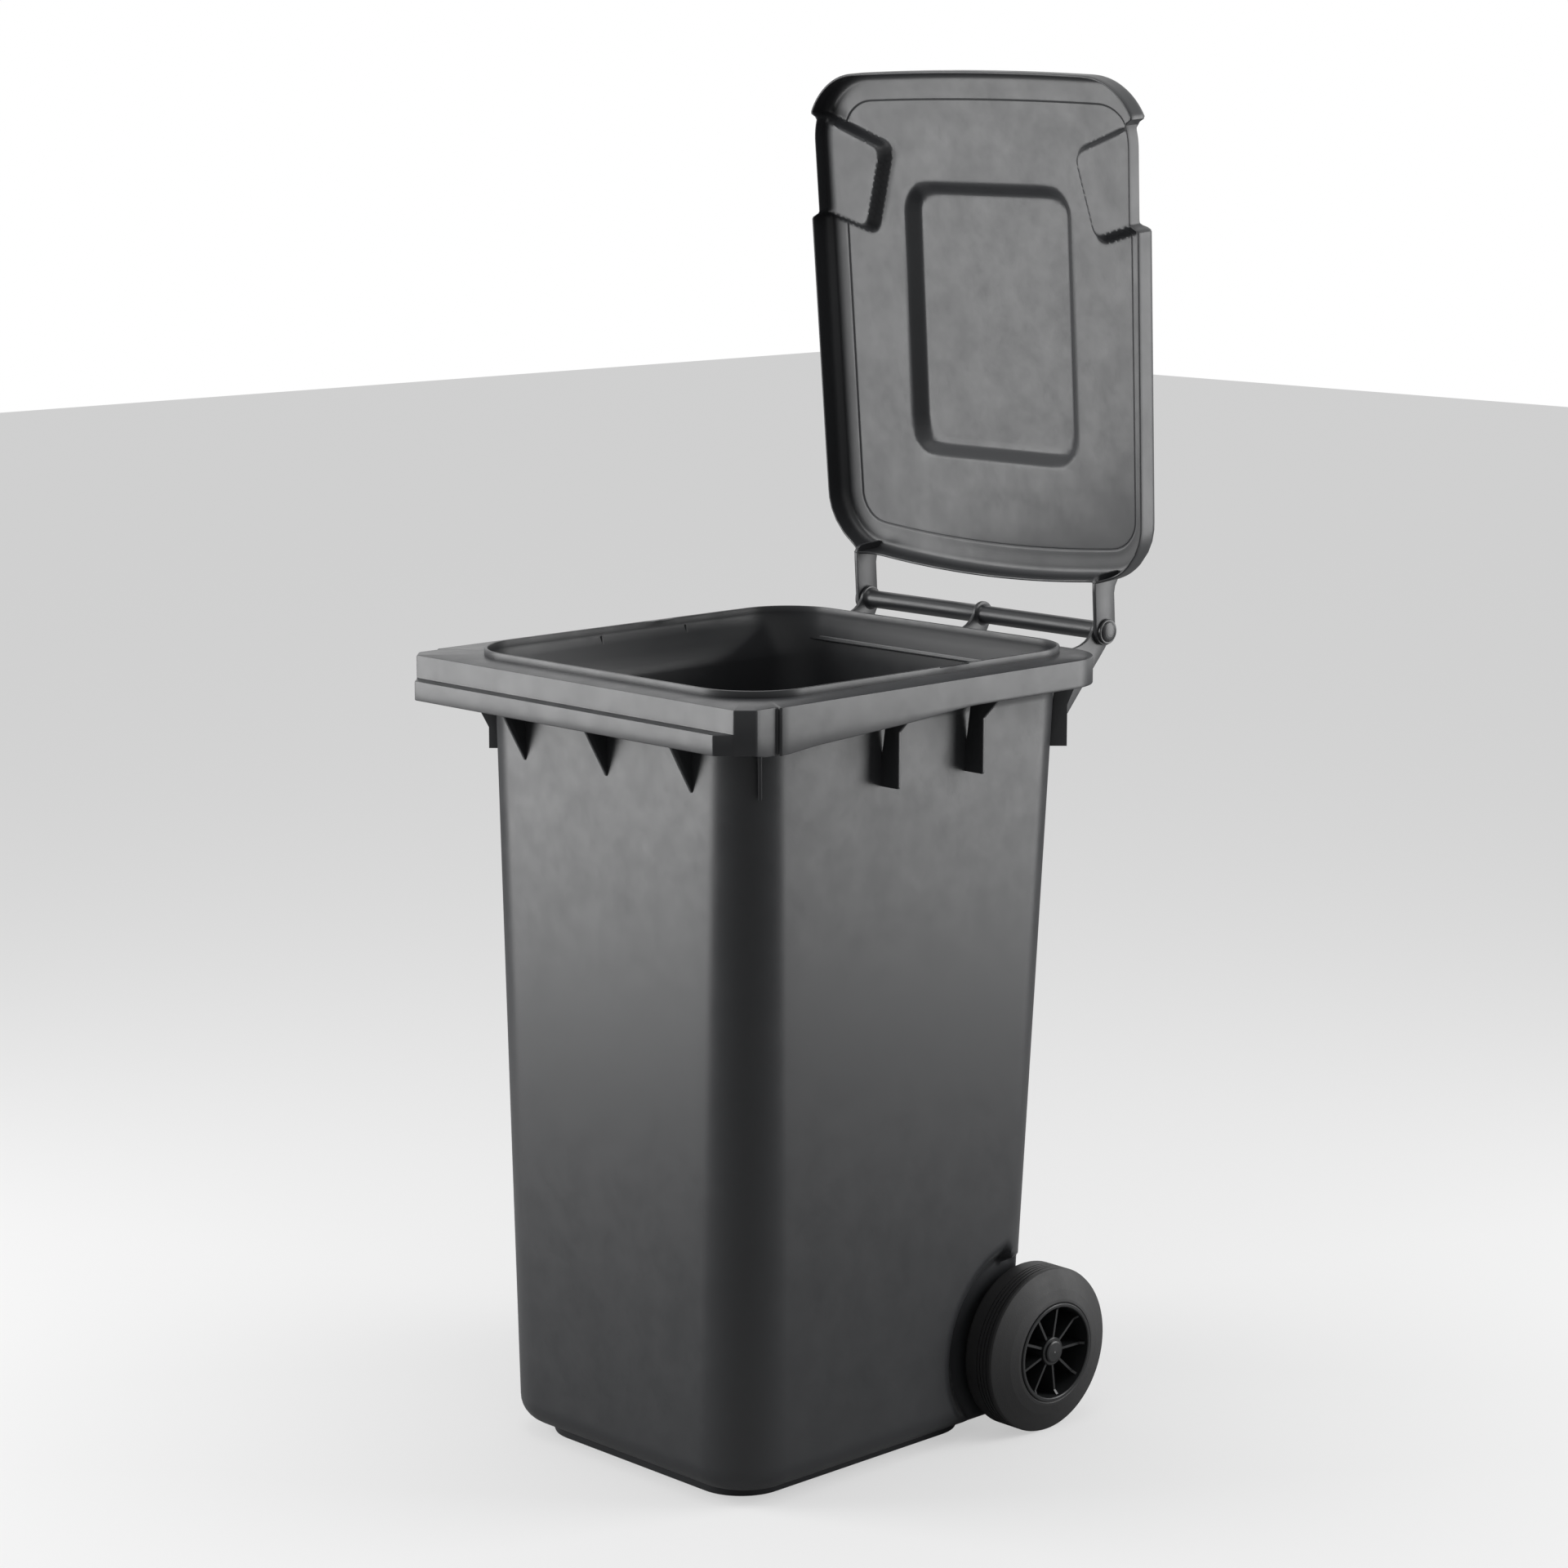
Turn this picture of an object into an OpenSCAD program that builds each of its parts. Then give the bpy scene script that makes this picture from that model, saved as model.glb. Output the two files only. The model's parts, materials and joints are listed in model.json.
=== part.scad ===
// Two-wheeled household waste bin of the 240 litre class, lid standing open.
// Millimetres, +Z up, front towards -Y, origin under the middle of the plinth.

/* [Rim] */
// height of the top of the rim flange above the ground
rim_z = 940; // [920:5:960]
// width over the sides of the rim
rim_w = 585; // [575:1:595]
// depth of the rim from its upper front face to its rear edge
rim_d = 591; // [585:1:600]
// distance of the upper front face of the rim in front of the origin
rim_front = 286; // [284:1:290]
// thickness of the flange and of its skirt
rim_t = 4; // [3:0.5:4.5]
// radius of the rear corners of the rim
rim_corner = 70; // [60:1:75]
// height of the lip that stands around the mouth
lip_h = 8; // [5:0.5:9]
// width over the outside of the mouth lip
lip_w = 500; // [490:1:504]
// distance of the front of the mouth lip behind the upper front face
lip_set = 43; // [40:1:48]
// distance of the rear of the mouth lip ahead of the rear edge
lip_rear_set = 8; // [6:1:12]

/* [Comb lip] */
// how far the lower front band stands ahead of the upper one
band_out = 16; // [10:1:18]
// half width of the lower front band between its chamfers
band_half = 254; // [248:1:256]
// height of the lower front band
band_h = 23; // [18:1:26]
// depth of the top of the lower band below the flange
band_drop = 27; // [24:1:32]
// spacing of the front gussets
gusset_pitch = 142; // [120:1:150]
// thickness of gussets and ribs
rib_t = 4; // [3:0.5:5]

/* [Tub] */
// thickness of the tub walls
wall = 4; // [3:0.5:5]
// width of the tub at the foot of its walls
foot_w = 431.4; // [425:0.1:436]
// distance of the front wall ahead of the origin at its foot
foot_front = 226.6; // [222:0.1:230]
// distance of the rear wall behind the origin at its foot
foot_rear = 246.5; // [243:0.1:250]
// outward lean of the side walls, mm per mm
side_draft = 0.01846; // [0.015:0.0001:0.020]
// outward lean of the front wall, mm per mm
front_draft = 0.0054; // [0.004:0.0001:0.007]
// outward lean of the rear wall, mm per mm
rear_draft = 0.0538; // [0.050:0.0001:0.055]
// radius of the front upright corners at the foot
foot_corner = 73; // [68:1:76]
// radius of the front upright corners under the rim
top_corner = 60; // [56:1:64]
// radius of the rear upright corners
rear_corner = 50; // [45:1:55]
// height of the plinth step
plinth_h = 14; // [10:1:18]
// half width of the plinth
plinth_half = 180; // [170:1:185]
// half length of the plinth
plinth_len = 196; // [190:1:198]

/* [Wheels] */
// diameter of the tyre
tyre_d = 200; // [196:1:204]
// width of the tyre at the tread
tyre_w = 44; // [40:1:46]
// distance of the axle behind the origin
axle_y = 242.1; // [240:0.1:245]
// distance of the outer tread shoulder from the middle
tread_x = 254; // [252:0.5:256]
// diameter of the steel axle
axle_d = 20; // [18:0.5:22]
// outer diameter of the wheel hub
hub_d = 120; // [112:1:128]
// number of radial ribs in the hub
hub_ribs = 9; // [6:1:12]
// radial running clearance of hubs on the axle
axle_gap = 0.1; // [0.05:0.01:0.1]

/* [Hinge] */
// distance of the hinge axis behind the rear edge of the rim
hinge_back = 79.7; // [78:0.1:84]
// height of the hinge axis above the rim flange
hinge_up = 9.5; // [9:0.5:12]
// diameter of the handle bar
bar_d = 22; // [21:0.5:26]
// half length of the bar, up to the inner faces of the end brackets
bar_half = 192; // [188:1:196]
// thickness of the brackets
bracket_t = 5; // [4:0.5:6]
// diameter of the shank of the hinge pins
pin_d = 16; // [14:0.5:16]
// radial clearance of the lid arms on the pins
pin_gap = 0.1; // [0.05:0.01:0.1]
// thickness of the lid arms
arm_t = 5.5; // [4.5:0.5:6]
// gap on either side of a lid arm
arm_gap = 0.5; // [0.4:0.1:1]

/* [Lid] */
// angle by which the lid stands open, from the closed position
lid_open = 86.3; // [80:0.1:90]
// material thickness of the lid
lid_t = 3; // [2.5:0.5:3.5]
// distance of the lid edge inside the rim at each side
lid_side_set = 19.6; // [18:0.1:22]
// distance of the front lid edge behind the upper front face of the rim
lid_front_set = 12.7; // [11:0.1:16]
// distance of the rear lid edge ahead of the hinge axis
lid_rear_set = 47.3; // [45:0.1:50]
// narrowing of each lid side towards the rear
lid_taper = 10.6; // [8:0.1:12]
// height of the outside of the lid skirt up to the start of its round
lid_skirt = 22; // [18:1:24]
// height of the inside of the flat lid plate above the hinge axis
lid_plate = 30; // [28:0.5:32]
// rise of the middle panel above the plate
panel_rise = 15; // [10:1:18]

/* [Hidden] */
eps = 0.1;
hull_fn = 32;
$fn = 64;

rim_x = rim_w / 2;
rim_rear = rim_d - rim_front;
foot_z = 44;
foot_round = foot_z - plinth_h;
flare_z = rim_z - 55;
lip_x = lip_w / 2;
lip_front = -rim_front + lip_set;
lip_rear = rim_rear - lip_rear_set;
lip_corner_front = 80;
lip_corner_rear = 75;
plinth_corner = 58;

// comb lip and skirt
chamfer_sum = band_half + band_out + rim_front;
side_inset = 5.5;
side_step_y = -rim_front + 48;
band_top = rim_z - band_drop;
band_low = band_top - band_h;
skirt_front = [15, -50];
skirt_line = [[30, -53], [55, -53], [105, -48], [236, -41], [326, -34], [350, -32.5]];
gusset_low = 114;
side_rib_y = [265, 402];
side_rib_low = 122;
side_rib_x = 258;
side_rib_turn = 56;
corner_rib_out = 17;
corner_rib_low = 114;

// wheels
axle_z = tyre_d / 2;
tread_in = tread_x - tyre_w;
hub_r = hub_d / 2;
hub_face = tread_x + 14.6;
hub_in = tread_in - 1;
hub_ring = 4.5;
boss_r = axle_d / 2 + 7;
boss_face = tread_x + 8;
web_x = tread_in + 16;
web_t = 5;
hub_rib_t = 3;
cap_r = 13;
cap_t = 3;
axle_half = tread_x + 2;
latch_x = tread_in + 6;
latch_d = 5;
groove_w = 6;
groove_depth = 2;
well_x = tread_in - 10;
well_r = axle_z + 15;
well_slope = 1.05;
well_clear = axle_z + 7;
seat_x = [-150, -60, 60, 150];
seat_t = 6;
seat_r = axle_d / 2 + 8;

// hinge
hinge_y = rim_rear + hinge_back;
hinge_z = rim_z + hinge_up;
eye_r = pin_d / 2 + 8;
seat_gap = 0.05;
bracket_out = bar_half + bracket_t;
arm_in = bracket_out + arm_gap;
arm_out = arm_in + arm_t;
pin_in = bar_half - 42;
head_in = arm_out + arm_gap;
head_t = 3.5;
head_r = pin_d / 2 + 7;
dome_t = 4;
dome_r = head_r - 2.5;
arm_r = 17;
arm_len = 66;

// lid, in its own closed frame with the hinge axis through the origin
lid_x = rim_x - lid_side_set;
lid_front = hinge_y + rim_front - lid_front_set;
lid_front_r = 87;
lid_rear_r = 77;
lid_free = 0.5;
lid_rear_bow = 8.5;
lid_front_bow = 4;
bow_rear_u = 170;
bow_front_u = 190;
panel_mid = 353;
panel_x = 137;
panel_len = 169;
panel_corner = 36;
grip_round = 10;
grip_floor = 15;
grip_in = 13.5;

// ---- outlines ----
// rectangle with separate front and rear corner radii
module plan(half, front, rear, r_front, r_rear) {
    polygon([[r_front - half, front], [half - r_front, front], [half, front + r_front],
        [half, rear - r_rear], [half - r_rear, rear], [r_rear - half, rear],
        [-half, rear - r_rear], [-half, front + r_front]]);
    for (s = [-1, 1]) {
        translate([s * (half - r_front), front + r_front]) circle(r = r_front);
        translate([s * (half - r_rear), rear - r_rear]) circle(r = r_rear);
    }
}

function blend(z) = (z - foot_z) / (flare_z - foot_z);

// thin slice of the tub wall at height z, drawn in by t
module wall_slice(z, t) {
    up = max(z, foot_z) - foot_z;
    r = foot_corner + (top_corner - foot_corner) * max(0, blend(z));
    translate([0, 0, z])
        linear_extrude(eps)
            plan(foot_w / 2 + side_draft * up - t, -foot_front - front_draft * up + t,
                foot_rear + rear_draft * up - t, r - t, rear_corner - t, $fn = hull_fn);
}

module lip_slice(z, h, t) {
    translate([0, 0, z])
        linear_extrude(h)
            plan(lip_x - t, lip_front + t, lip_rear - t, lip_corner_front - t,
                lip_corner_rear - t);
}

// outline of the rim, drawn in by t, with its front face at y = front
module rim_plan(t, front) {
    c = chamfer_sum - t * sqrt(2);
    side = rim_x - side_inset - t;
    x = rim_x - t;
    step = side_step_y + t;
    r = rim_corner - t;
    far = rim_rear - t;
    half = [[c + front + t, front + t], [side, side - c], [side, step], [x, step],
        [x, far - r], [x - r, far]];
    polygon(concat(half, [for (i = [5:-1:0]) [-half[i][0], half[i][1]]]));
    for (s = [-1, 1])
        translate([s * (x - r), far - r])
            circle(r = r);
}

// ---- tub ----
module body_form(t) {
    r = foot_round - t;
    hull() {
        for (a = [0:30:90])
            wall_slice(foot_z - r * cos(a), foot_round - r * sin(a));
        wall_slice(flare_z, t);
    }
    hull() {
        wall_slice(flare_z, t);
        lip_slice(rim_z - rim_t, rim_t, t, $fn = hull_fn);
    }
}

// space for one wheel, grown by t into the tub
module wheel_well(t) {
    translate([well_x - t, axle_y, axle_z]) {
        rotate([0, 90, 0])
            cylinder(h = 60, r = well_clear + t);
        intersection() {
            rotate([0, 90, 0])
                cylinder(h = 60, r1 = well_r + t, r2 = well_r + t + 60 * well_slope);
            translate([-1, -300, -200])
                cube([80, 270 + t, 500]);
        }
    }
}

// space across the rear for the axle, grown by t
module axle_bay(t) {
    translate([-rim_w / 2, 0, 0])
        rotate([90, 0, 90])
            linear_extrude(rim_w)
                polygon([[axle_y - 44 - t, -2], [axle_y - 44 - t, 36 + t / 2],
                    [axle_y - 30 - t, 60 + t / 2], [axle_y - 30 - t, 136 + t / 2],
                    [axle_y + 20 - t / 2, 190 + t], [rim_rear + 40, 190 + t],
                    [rim_rear + 40, -2]]);
}

module cut_outs(t) {
    axle_bay(t);
    wheel_well(t);
    mirror([1, 0, 0]) wheel_well(t);
}

module cavity() {
    difference() {
        union() {
            body_form(wall);
            lip_slice(rim_z - eps, lip_h + 2, wall);
            // the floor follows the plinth down
            translate([0, 0, wall])
                linear_extrude(plinth_h + 1)
                    plan(plinth_half - wall, wall - plinth_len, plinth_len - wall,
                        plinth_corner - wall, plinth_corner - wall);
        }
        cut_outs(wall);
    }
}

module plinth() {
    linear_extrude(plinth_h + wall / 2)
        plan(plinth_half, -plinth_len, plinth_len, plinth_corner, plinth_corner);
}

module rim() {
    low = band_low - 10;
    front = -rim_front;
    out = front - band_out;
    difference() {
        union() {
            translate([0, 0, low])
                linear_extrude(rim_z - low)
                    rim_plan(0, front);
            translate([0, 0, low])
                linear_extrude(band_top - low)
                    rim_plan(0, out);
        }
        translate([0, 0, low - 1])
            linear_extrude(rim_z - rim_t - low + 1)
                rim_plan(rim_t, front);
        translate([0, 0, low - 1])
            linear_extrude(band_top - rim_t - low + 1)
                rim_plan(rim_t, out);
        // lower edge of the skirt, seen from the side
        translate([-rim_w, -rim_front, rim_z])
            rotate([90, 0, 90])
                linear_extrude(2 * rim_w)
                    polygon(concat([[-40, -90], [-40, band_low - rim_z],
                        [skirt_front[0], band_low - rim_z]], skirt_line,
                        [[rim_d + 40, -32.5], [rim_d + 40, -90]]));
    }
}

module lip() {
    lip_slice(rim_z - rim_t, rim_t + lip_h, 0);
    // label pad on the front right corner
    translate([lip_x - lip_corner_front, lip_front + lip_corner_front, rim_z - 1])
        rotate(-42)
            translate([lip_corner_front - wall / 2, -9, 0])
                cube([5, 18, lip_h - 0.5]);
}

module front_gussets() {
    for (x = [-gusset_pitch, 0, gusset_pitch])
        translate([x - rib_t / 2, -rim_front, rim_z])
            rotate([90, 0, 90])
                linear_extrude(rib_t)
                    polygon([[70, -gusset_low], [54.5, -gusset_low], [18, -50],
                        [4.7, -band_drop], [2, -22], [2, -1], [70, -1]]);
}

module side_ribs() {
    for (s = [-1, 1], y = side_rib_y)
        translate([0, y - rim_front + rib_t / 2, rim_z])
            rotate([90, 0, 0])
                linear_extrude(rib_t)
                    polygon([[s * (foot_w / 2), -side_rib_low],
                        [s * side_rib_x, -side_rib_low],
                        [s * side_rib_x, -side_rib_turn],
                        [s * (rim_x - 2), -side_rib_turn + rim_x - 2 - side_rib_x],
                        [s * (rim_x - 2), -1], [s * (foot_w / 2), -1]]);
}

// rib on an upright corner; reach is measured from the middle of the corner round
module corner_rib(x, y, turn, base, flare, low, high) {
    for (s = [0, 1])
        mirror([s, 0, 0])
            translate([x, y, rim_z])
                rotate(turn)
                    rotate([90, 0, 0])
                        translate([0, 0, -rib_t / 2])
                            linear_extrude(rib_t)
                                polygon([[base - 30, -corner_rib_low],
                                    [base + corner_rib_out, -corner_rib_low],
                                    [base + corner_rib_out, -low],
                                    [base + corner_rib_out + flare, -high],
                                    [base + corner_rib_out + flare, -1],
                                    [base - 30, -1]]);
}

module corner_ribs() {
    side = foot_w / 2 + side_draft * (flare_z - foot_z);
    front = -foot_front - front_draft * (flare_z - foot_z);
    rear = foot_rear + rear_draft * (flare_z - foot_z);
    corner_rib(side - top_corner + 8, front + top_corner + 12, -45, top_corner - 4,
        20, 89, 50);
    corner_rib(side - rear_corner, rear - rear_corner, 45, rear_corner, 12, 65, 35);
}

module bracket() {
    translate([hinge_y, hinge_z])
        circle(r = eye_r);
    polygon([[rim_rear - 40, rim_z - 140], [rim_rear - 17, rim_z - 125],
        [hinge_y - 17, hinge_z - 46], [hinge_y + 9, hinge_z - 22],
        [hinge_y + 14.5, hinge_z - 8], [hinge_y, hinge_z], [hinge_y - 15.5, hinge_z + 4],
        [hinge_y - 20.4, hinge_z - 1.5], [hinge_y - 29, hinge_z - 9.5],
        [hinge_y - 40.4, hinge_z - 15], [hinge_y - 57.7, hinge_z - 17],
        [rim_rear - 4, rim_z - 5], [rim_rear - 40, rim_z - 5]]);
}

module brackets() {
    for (x = [-bracket_out, -bracket_t / 2, bar_half])
        translate([x, 0, 0])
            rotate([90, 0, 90])
                linear_extrude(bracket_t)
                    bracket();
    translate([-bar_half - eps, hinge_y, hinge_z])
        rotate([0, 90, 0])
            cylinder(h = 2 * (bar_half + eps), d = bar_d);
}

module axle_seats() {
    for (x = seat_x)
        translate([x - seat_t / 2, 0, 0])
            rotate([90, 0, 90])
                linear_extrude(seat_t) {
                    translate([axle_y, axle_z]) circle(r = seat_r);
                    polygon([[axle_y - 32, 56], [axle_y + 6, axle_z - seat_r + 1],
                        [axle_y + seat_r, axle_z], [axle_y + 20, 192],
                        [axle_y - 32, 140]]);
                }
}

module tub() {
    color("#34373a")
        difference() {
            union() {
                difference() {
                    body_form(0);
                    cut_outs(0);
                }
                plinth();
                rim();
                lip();
                front_gussets();
                side_ribs();
                corner_ribs();
                brackets();
                axle_seats();
            }
            cavity();
            // bores for the hinge pins and the axle
            for (s = [-1, 1])
                translate([s * bracket_out, hinge_y, hinge_z])
                    rotate([0, -s * 90, 0])
                        translate([0, 0, -1])
                            cylinder(h = bracket_out - pin_in + 3,
                                r = pin_d / 2 + seat_gap);
            translate([-rim_x, axle_y, axle_z])
                rotate([0, 90, 0])
                    cylinder(h = rim_w, r = axle_d / 2 + seat_gap);
            // small notches in the side lips
            for (y = [-58, 76])
                translate([-rim_x, y - 8, rim_z + lip_h - 2])
                    cube([rim_w, 16, 5]);
        }
}

// ---- lid ----
function arc(x, y, r, a0, a1, n) =
    [for (i = [0:n]) [x + r * cos(a0 + (a1 - a0) * i / n),
        y + r * sin(a0 + (a1 - a0) * i / n)]];
function rear_v(u) = lid_rear_set + lid_rear_bow * pow(u / bow_rear_u, 2);
function front_v(u) = lid_front - lid_front_bow * pow(u / bow_front_u, 2);

// right half of the lid edge drawn in by t, from the rear middle to the front middle
function lid_half(t) =
    let (xr = lid_x - lid_taper + 0.5 - lid_rear_r,
        xf = lid_x - lid_front_r,
        vr = rear_v(xr + 7.6) + lid_rear_r * sin(84.3),
        vf = front_v(xf + 3.5) - lid_front_r * sin(87.7))
    concat([for (u = [0:50:150]) [u, -rear_v(u) - t]],
        arc(xr, -vr, lid_rear_r - t, 84.3, -1.2, 12),
        arc(xf, -vf, lid_front_r - t, -1.2, -87.7, 12),
        [for (u = [150:-50:0]) [u, t - front_v(u)]]);

module lid_outline(t) {
    half = lid_half(t);
    n = len(half);
    polygon(concat(half, [for (i = [n - 2:-1:1]) [-half[i][0], half[i][1]]]));
}

module lid_slab(z, h, t) {
    translate([0, 0, z])
        linear_extrude(h)
            lid_outline(t);
}

// hand grip hollow over the front corners, grown by t
module grips(t) {
    for (s = [0, 1])
        mirror([s, 0, 0]) {
            translate([0, 0, grip_floor + lid_t - t])
                linear_extrude(60)
                    offset(r = grip_round, $fn = 32) offset(delta = -grip_round)
                    polygon([[157 - t, -563 - t], [187 - t, -461 + t],
                        [lid_x - 9, -483 + t], [lid_x + 30, -483 + t],
                        [lid_x + 30, -601 - t], [251, -596 - t]]);
            translate([lid_x - grip_in - t, -601 - t, -5])
                cube([60, 123 + 2 * t, 80]);
        }
}

// raised middle panel, grown by t
module panel(t) {
    x = panel_x + t;
    y = panel_len + t;
    translate([0, -panel_mid, lid_plate - 1 + t])
        linear_extrude(panel_rise + 1, scale = [(x - 16) / x, (y - 13) / y], slices = 1)
            plan(x, -y, y, panel_corner + t, panel_corner + t, $fn = 32);
}

module lid_shell() {
    difference() {
        hull() {
            lid_slab(lid_free, lid_skirt - lid_free, 0);
            lid_slab(lid_skirt + 6, eps, 2);
            lid_slab(lid_skirt + 9, eps, 8);
            lid_slab(lid_plate + lid_t - eps, eps, 36);
        }
        grips(0);
    }
    panel(lid_t);
}

module lid_hollow() {
    difference() {
        union() {
            hull() {
                lid_slab(-40, lid_skirt + 40, lid_t);
                lid_slab(lid_skirt + 4.6, eps, lid_t + 3);
                lid_slab(lid_skirt + 6.4, eps, lid_t + 9);
                lid_slab(lid_plate - 1, eps, 36);
            }
            // flat plate inside the frame line
            translate([0, 0, lid_plate - 4])
                linear_extrude(4)
                    plan(lid_x - 40, 40 - lid_front, -lid_rear_set - 42, 50, 50);
        }
        grips(lid_t);
    }
    panel(0);
}

// rear wall drawn down on both sides of each arm
module arm_webs() {
    intersection() {
        difference() {
            lid_slab(-arm_r, arm_r + lid_skirt, 0);
            lid_slab(-arm_r - 1, arm_r + lid_skirt + 2, lid_t);
        }
        for (s = [0, 1])
            mirror([s, 0, 0])
                translate([0, -100, 0])
                    rotate([90, 0, 0])
                        translate([0, 0, -80])
                            linear_extrude(80)
                                polygon([[arm_in - 27, 6], [arm_in - 27, lid_free],
                                    [arm_in - 14, -3], [arm_in - 6, -8],
                                    [arm_in, -13.5], [arm_in + 1, -arm_r],
                                    [arm_out, -arm_r], [arm_out + 5, -11],
                                    [arm_out + 13, -4], [arm_out + 27, lid_free],
                                    [arm_out + 27, 6]]);
    }
}

module lid_arms() {
    for (s = [0, 1])
        mirror([s, 0, 0])
            translate([arm_in, 0, 0])
                rotate([90, 0, 90])
                    linear_extrude(arm_t) {
                        circle(r = arm_r);
                        polygon([[0, -arm_r], [0, arm_r], [-arm_len + 16, arm_r],
                            [-arm_len + 10, lid_skirt + 3], [-arm_len - 6, lid_skirt + 3],
                            [-arm_len - 6, lid_free], [-arm_len, -arm_r]]);
                    }
}

module lid() {
    color("#3a3d40")
        translate([0, hinge_y, hinge_z])
            rotate([-lid_open, 0, 0])
                difference() {
                    union() {
                        difference() {
                            lid_shell();
                            lid_hollow();
                        }
                        arm_webs();
                        lid_arms();
                        // gate mark in the middle of the panel
                        translate([0, -panel_mid, lid_plate + panel_rise - 1])
                            cylinder(h = 2, r = 9);
                    }
                    translate([-arm_out - 1, 0, 0])
                        rotate([0, 90, 0])
                            cylinder(h = 2 * arm_out + 2, r = pin_d / 2 + pin_gap);
                }
}

// ---- hinge pins ----
module hinge_pin() {
    translate([0, hinge_y, hinge_z])
        rotate([0, 90, 0])
            rotate_extrude() {
                polygon([[0, pin_in], [pin_d / 2 - 1.5, pin_in], [pin_d / 2, pin_in + 3],
                    [pin_d / 2, head_in], [head_r, head_in],
                    [head_r, head_in + head_t - 1], [head_r - 1, head_in + head_t],
                    [dome_r, head_in + head_t],
                    for (a = [15:15:90]) [dome_r * cos(a), head_in + head_t + dome_t * sin(a)]]);
            }
}

module hinge_pin_right() {
    color("#2b2d30") hinge_pin();
}

module hinge_pin_left() {
    color("#2b2d30") mirror([1, 0, 0]) hinge_pin();
}

// ---- wheels ----
module on_axle() {
    translate([0, axle_y, axle_z])
        rotate([0, 90, 0])
            children();
}

module axle() {
    r = axle_d / 2;
    color("#9aa0a6")
        on_axle()
            difference() {
                union() {
                    translate([0, 0, -axle_half + 2])
                        cylinder(h = 2 * axle_half - 4, r = r);
                    translate([0, 0, axle_half - 2 - eps])
                        cylinder(h = 2 + eps, r1 = r, r2 = r - 2);
                    translate([0, 0, -axle_half])
                        cylinder(h = 2 + eps, r1 = r - 2, r2 = r);
                }
                for (s = [-1, 1])
                    translate([0, 0, s * latch_x - groove_w / 2])
                        difference() {
                            cylinder(h = groove_w, r = r + 1);
                            translate([0, 0, -1])
                                cylinder(h = groove_w + 2, r = r - groove_depth);
                        }
            }
}

module hub() {
    on_axle()
        difference() {
            union() {
                rotate_extrude($fn = 96) {
                    // boss
                    polygon([[0, hub_in], [boss_r, hub_in], [boss_r, boss_face - 1],
                        [boss_r - 1, boss_face], [0, boss_face]]);
                    // web
                    polygon([[boss_r - 1, web_x], [hub_r - 2, web_x],
                        [hub_r - 2, web_x + web_t], [boss_r - 1, web_x + web_t]]);
                    // rim ring
                    polygon([[hub_r - hub_ring, hub_in], [hub_r, hub_in],
                        [hub_r, hub_face - 1], [hub_r - 1, hub_face],
                        [hub_r - hub_ring + 1, hub_face], [hub_r - hub_ring, hub_face - 1]]);
                }
                for (i = [0:hub_ribs - 1])
                    rotate(8 + i * 360 / hub_ribs)
                        rotate([90, 0, 0])
                            translate([0, 0, -hub_rib_t / 2])
                                linear_extrude(hub_rib_t)
                                    polygon([[boss_r - 2, web_x + 1], [hub_r - 2, web_x + 1],
                                        [hub_r - 2, hub_face - 4],
                                        [hub_r - hub_ring - 5, hub_face - 10],
                                        [boss_r - 2, boss_face - 3]]);
            }
            translate([0, 0, hub_in - 1])
                cylinder(h = hub_face, r = axle_d / 2 + axle_gap);
            // hole for the latch pin
            translate([0, 0, latch_x])
                rotate([0, -90, 0])
                    cylinder(h = boss_r + 5, d = latch_d + 2 * seat_gap, $fn = 32);
        }
}

module hub_right() {
    color("#2c2e30") hub();
}

module hub_left() {
    color("#2c2e30") mirror([1, 0, 0]) hub();
}

module tyre() {
    r = tyre_d / 2;
    on_axle()
        difference() {
            rotate_extrude($fn = 128)
                polygon([[hub_r, tread_in], [hub_r + 4, tread_in - 1.5],
                    [r - 20, tread_in - 2], [r - 4, tread_in], [r - 1, tread_in + 1.5],
                    [r, tread_in + 4], [r, tread_x - 3.5], [r - 1, tread_x - 1],
                    [r - 3, tread_x], [r - 12, tread_x + 4], [r - 24, tread_x + 9],
                    [hub_r + 5, tread_x + 12.5], [hub_r + 2, tread_x + 13],
                    [hub_r, tread_x + 12]]);
            // fine grooves round the outer part of the tread
            for (i = [0:3])
                translate([0, 0, tread_x - 9 - 5 * i])
                    difference() {
                        cylinder(h = 1.5, r = r + 1, $fn = 128);
                        translate([0, 0, -1])
                            cylinder(h = 4, r = r - 1.2, $fn = 128);
                    }
        }
}

module tyre_right() {
    color("#1f2123") tyre();
}

module tyre_left() {
    color("#1f2123") mirror([1, 0, 0]) tyre();
}

module hub_cap() {
    on_axle() {
        translate([0, 0, boss_face])
            rotate_extrude()
                polygon([[0, 0], [cap_r, 0], [cap_r, cap_t - 1], [cap_r - 1.5, cap_t],
                    [0, cap_t + 0.6]]);
        translate([0, 0, boss_face - 4])
            cylinder(h = 4 + eps, r = axle_d / 2 + axle_gap - seat_gap);
    }
}

module hub_cap_right() {
    color("#2c2e30") hub_cap();
}

module hub_cap_left() {
    color("#2c2e30") mirror([1, 0, 0]) hub_cap();
}

// pin that holds the wheel on the axle; its tip runs in the axle groove
module latch_pin() {
    on_axle()
        translate([0, 0, latch_x])
            rotate([0, -90, 0])
                translate([0, 0, axle_d / 2 - groove_depth + 0.4]) {
                    cylinder(h = boss_r - axle_d / 2 + groove_depth + 1.6, d = latch_d, $fn = 32);
                    translate([0, 0, boss_r - axle_d / 2 + groove_depth - 0.3])
                        cylinder(h = 2.5, d = latch_d + 3, $fn = 32);
                }
}

module latch_pin_right() {
    color("#5a5d60") latch_pin();
}

module latch_pin_left() {
    color("#5a5d60") mirror([1, 0, 0]) latch_pin();
}

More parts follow.
